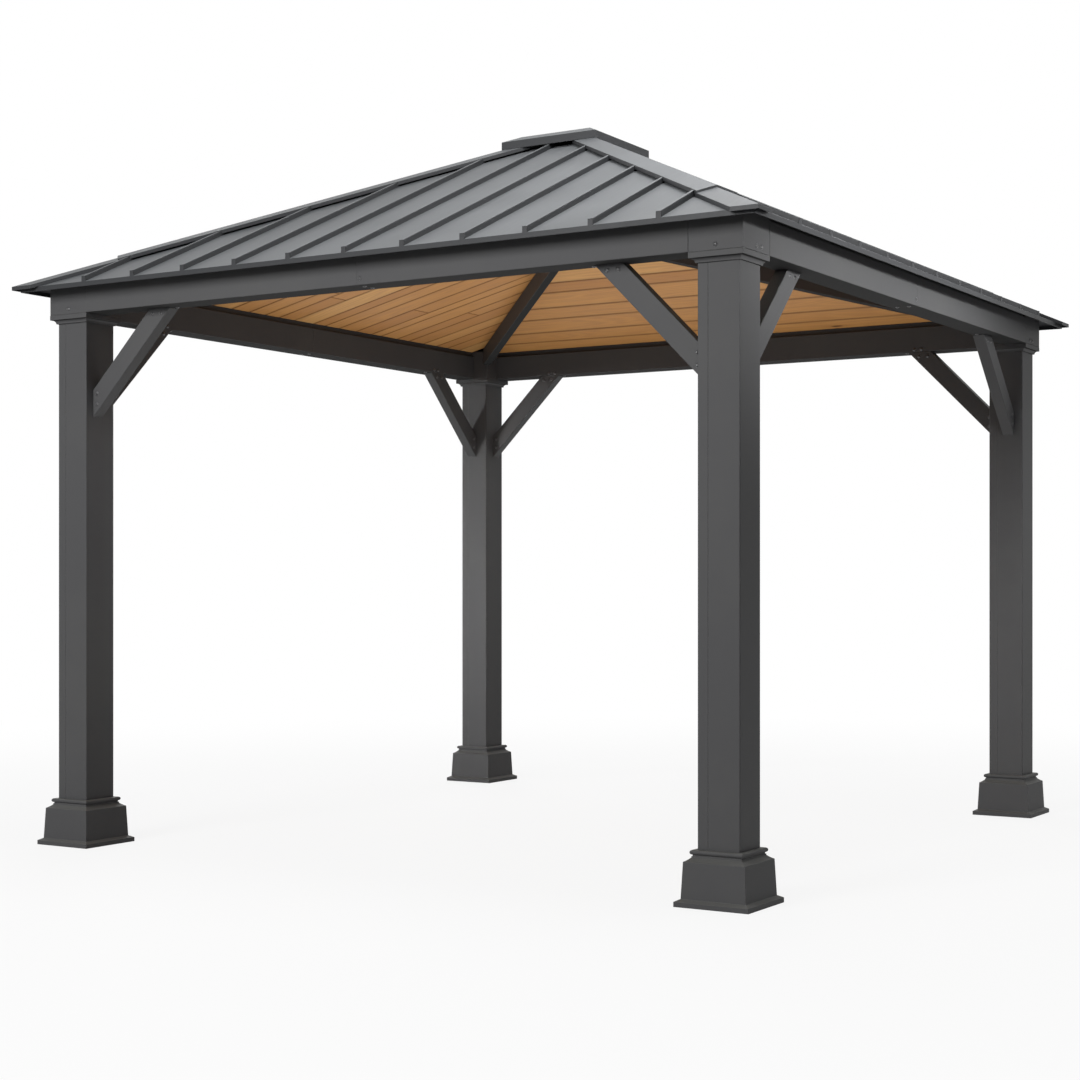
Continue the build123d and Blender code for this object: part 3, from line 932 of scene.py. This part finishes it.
shell = bmesh.new()
for side in SIDES:
    low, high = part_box(f"beam_{side}")
    middle = (low + high) / 2
    middle.z = low.z + SLEEVE_IN + SLEEVE_HEIGHT / 2
    size = high - low - 2 * Vector((SLEEVE_IN, SLEEVE_IN, 0))
    size[long_axis(low, high)] = SLEEVE_LENGTH
    size.z = SLEEVE_HEIGHT
    bmesh.ops.create_cube(shell, size=1.0, matrix=Matrix.LocRotScale(middle, None, size))
sleeve_mesh = bpy.data.meshes.new("beam sleeves")
shell.to_mesh(sleeve_mesh)
shell.free()
sleeve_mesh.materials.append(frame_finish)
sleeves = put("beam_sleeves", sleeve_mesh)
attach(sleeves, "root")
print(sleeves.name, len(sleeve_mesh.polygons), "faces")

# %% [markdown]
# ## Floor and light
#
# The pavilion stands on a plain white floor that runs out into a white surround, so
# there is no horizon. The floor keeps the soft shadows that tie the plinths to it. To
# the camera, and in what the metal mirrors, floor and surround show as white, and that
# adds no light to the pavilion.
#
# The light itself is a plain studio with a dim even surround. A broad lamp lights the
# front, and one from behind on the left fills the sides away from it. Two lamps over the
# roof and one behind it make the sheet paler towards the right. A strip picks out the
# right beam, and two narrow lamps lift the far post and the right-hand one. The ceiling
# has a soft lamp low under its middle, where daylight comes back from the ground.

# %% Floor
FLOOR_RADIUS = 60.0
FLOOR_FADE = (1.5, 7.5)
FLOOR_WHITE = screen(196, 196, 196)
FLOOR_DROP = 0.5 * MM
FADE_NEAR = 0.88

disc = bmesh.new()
bmesh.ops.create_circle(disc, cap_ends=True, radius=FLOOR_RADIUS, segments=96)
floor_mesh = bpy.data.meshes.new("floor")
disc.to_mesh(floor_mesh)
disc.free()
floor = put("floor", floor_mesh)
floor.location.z = -FLOOR_DROP


def seen_or_mirrored(bench):
    """1 for rays from the camera and rays that gloss or glass sends on, else 0."""
    rays = [bench.node("ShaderNodeLightPath", output=name)
            for name in ("Is Camera Ray", "Is Glossy Ray", "Is Transmission Ray")]
    return bench.maths("MINIMUM", rays[0] + rays[1] + rays[2], 1.0)


WHITE = (1.0, 1.0, 1.0, 1.0)
ground = Finish("white floor", Roughness=0.9, Specular_IOR_Level=0.1, Base_Color=FLOOR_WHITE)
settings = {"operation": "LENGTH"}
distance = ground.node("ShaderNodeVectorMath", settings, {0: ground.place()}, "Value")
fade = FADE_NEAR + (1.0 - FADE_NEAR) * ground.step(distance, *FLOOR_FADE)
white = ground.node("ShaderNodeEmission", None, {"Color": WHITE, "Strength": 1.0})
lit = Wire(ground, ground.shader.outputs[0])
inputs = {0: seen_or_mirrored(ground) * fade, 1: lit, 2: white}
surface = ground.node("ShaderNodeMixShader", None, inputs)
ground.feed(ground.tree.nodes["Material Output"].inputs[0], surface)
floor_mesh.materials.append(ground.material)
print("floor", FLOOR_RADIUS, "m")

# %% Surround and lamps
SURROUND_LIGHT = 0.2
MIDDLE = (0.0, 0.0, 1.4)

# Each lamp has a name, its place, what it is aimed at, its length and width, all in
# metres, its power in watts and its spread in degrees.
LAMPS = (
    ("key from the front", (-1.0, -9.0, 4.5), (0.0, 0.0, 2.2), 3.0, 3.5, 250.0, 100),
    ("lamp over the roof", (1.5, 0.5, 9.0), MIDDLE, 4.0, 4.0, 30.0, 180),
    ("lamp over the roof's right end", (1.6, -1.2, 4.6), (0.7, -1.0, 2.5), 1.2, 1.2, 56.0, 120),
    ("lamp behind the roof", (0.0, 5.5, 7.0), (0.8, -0.5, 2.6), 5.0, 3.0, 80.0, 120),
    ("strip along the right beam", (4.0, -0.4, 2.5), (1.6, -0.4, 2.25), 2.4, 0.3, 13.0, 36),
    ("lamp on the far post", (-6.0, -6.0, 2.2), (-1.5, 1.5, 1.1), 0.8, 0.8, 11.0, 22),
    ("lamp on the right-hand post", (5.0, -2.5, 2.0), (1.5, 1.5, 1.2), 0.6, 0.6, 1.8, 22),
    ("lamp from behind on the left", (-7.0, 7.0, 4.5), MIDDLE, 4.0, 4.0, 380.0, 180),
    ("lamp under the ceiling", (0.0, 0.0, 0.1), (0.0, 0.0, 2.0), 2.6, 2.6, 18.0, 130),
)

world = bpy.data.worlds.new("surround")
world.use_nodes = True
sky = Bench(world.node_tree)
backdrop = world.node_tree.nodes["Background"]
backdrop.inputs[0].default_value = WHITE
strength = SURROUND_LIGHT + (1.0 - SURROUND_LIGHT) * seen_or_mirrored(sky)
sky.feed(backdrop.inputs[1], strength)
bpy.context.scene.world = world

for name, place, target, length, width, power, spread in LAMPS:
    light = bpy.data.lights.new(name, "AREA")
    light.shape = "RECTANGLE"
    light.size = length
    light.size_y = width
    light.energy = power
    light.spread = math.radians(spread)
    lamp = put(name, light)
    lamp.location = place
    aim = Vector(target) - Vector(place)
    lamp.rotation_euler = aim.to_track_quat("-Z", "Y").to_euler()
bpy.context.scene.view_settings.view_transform = "Standard"
print(len(LAMPS), "lamps")
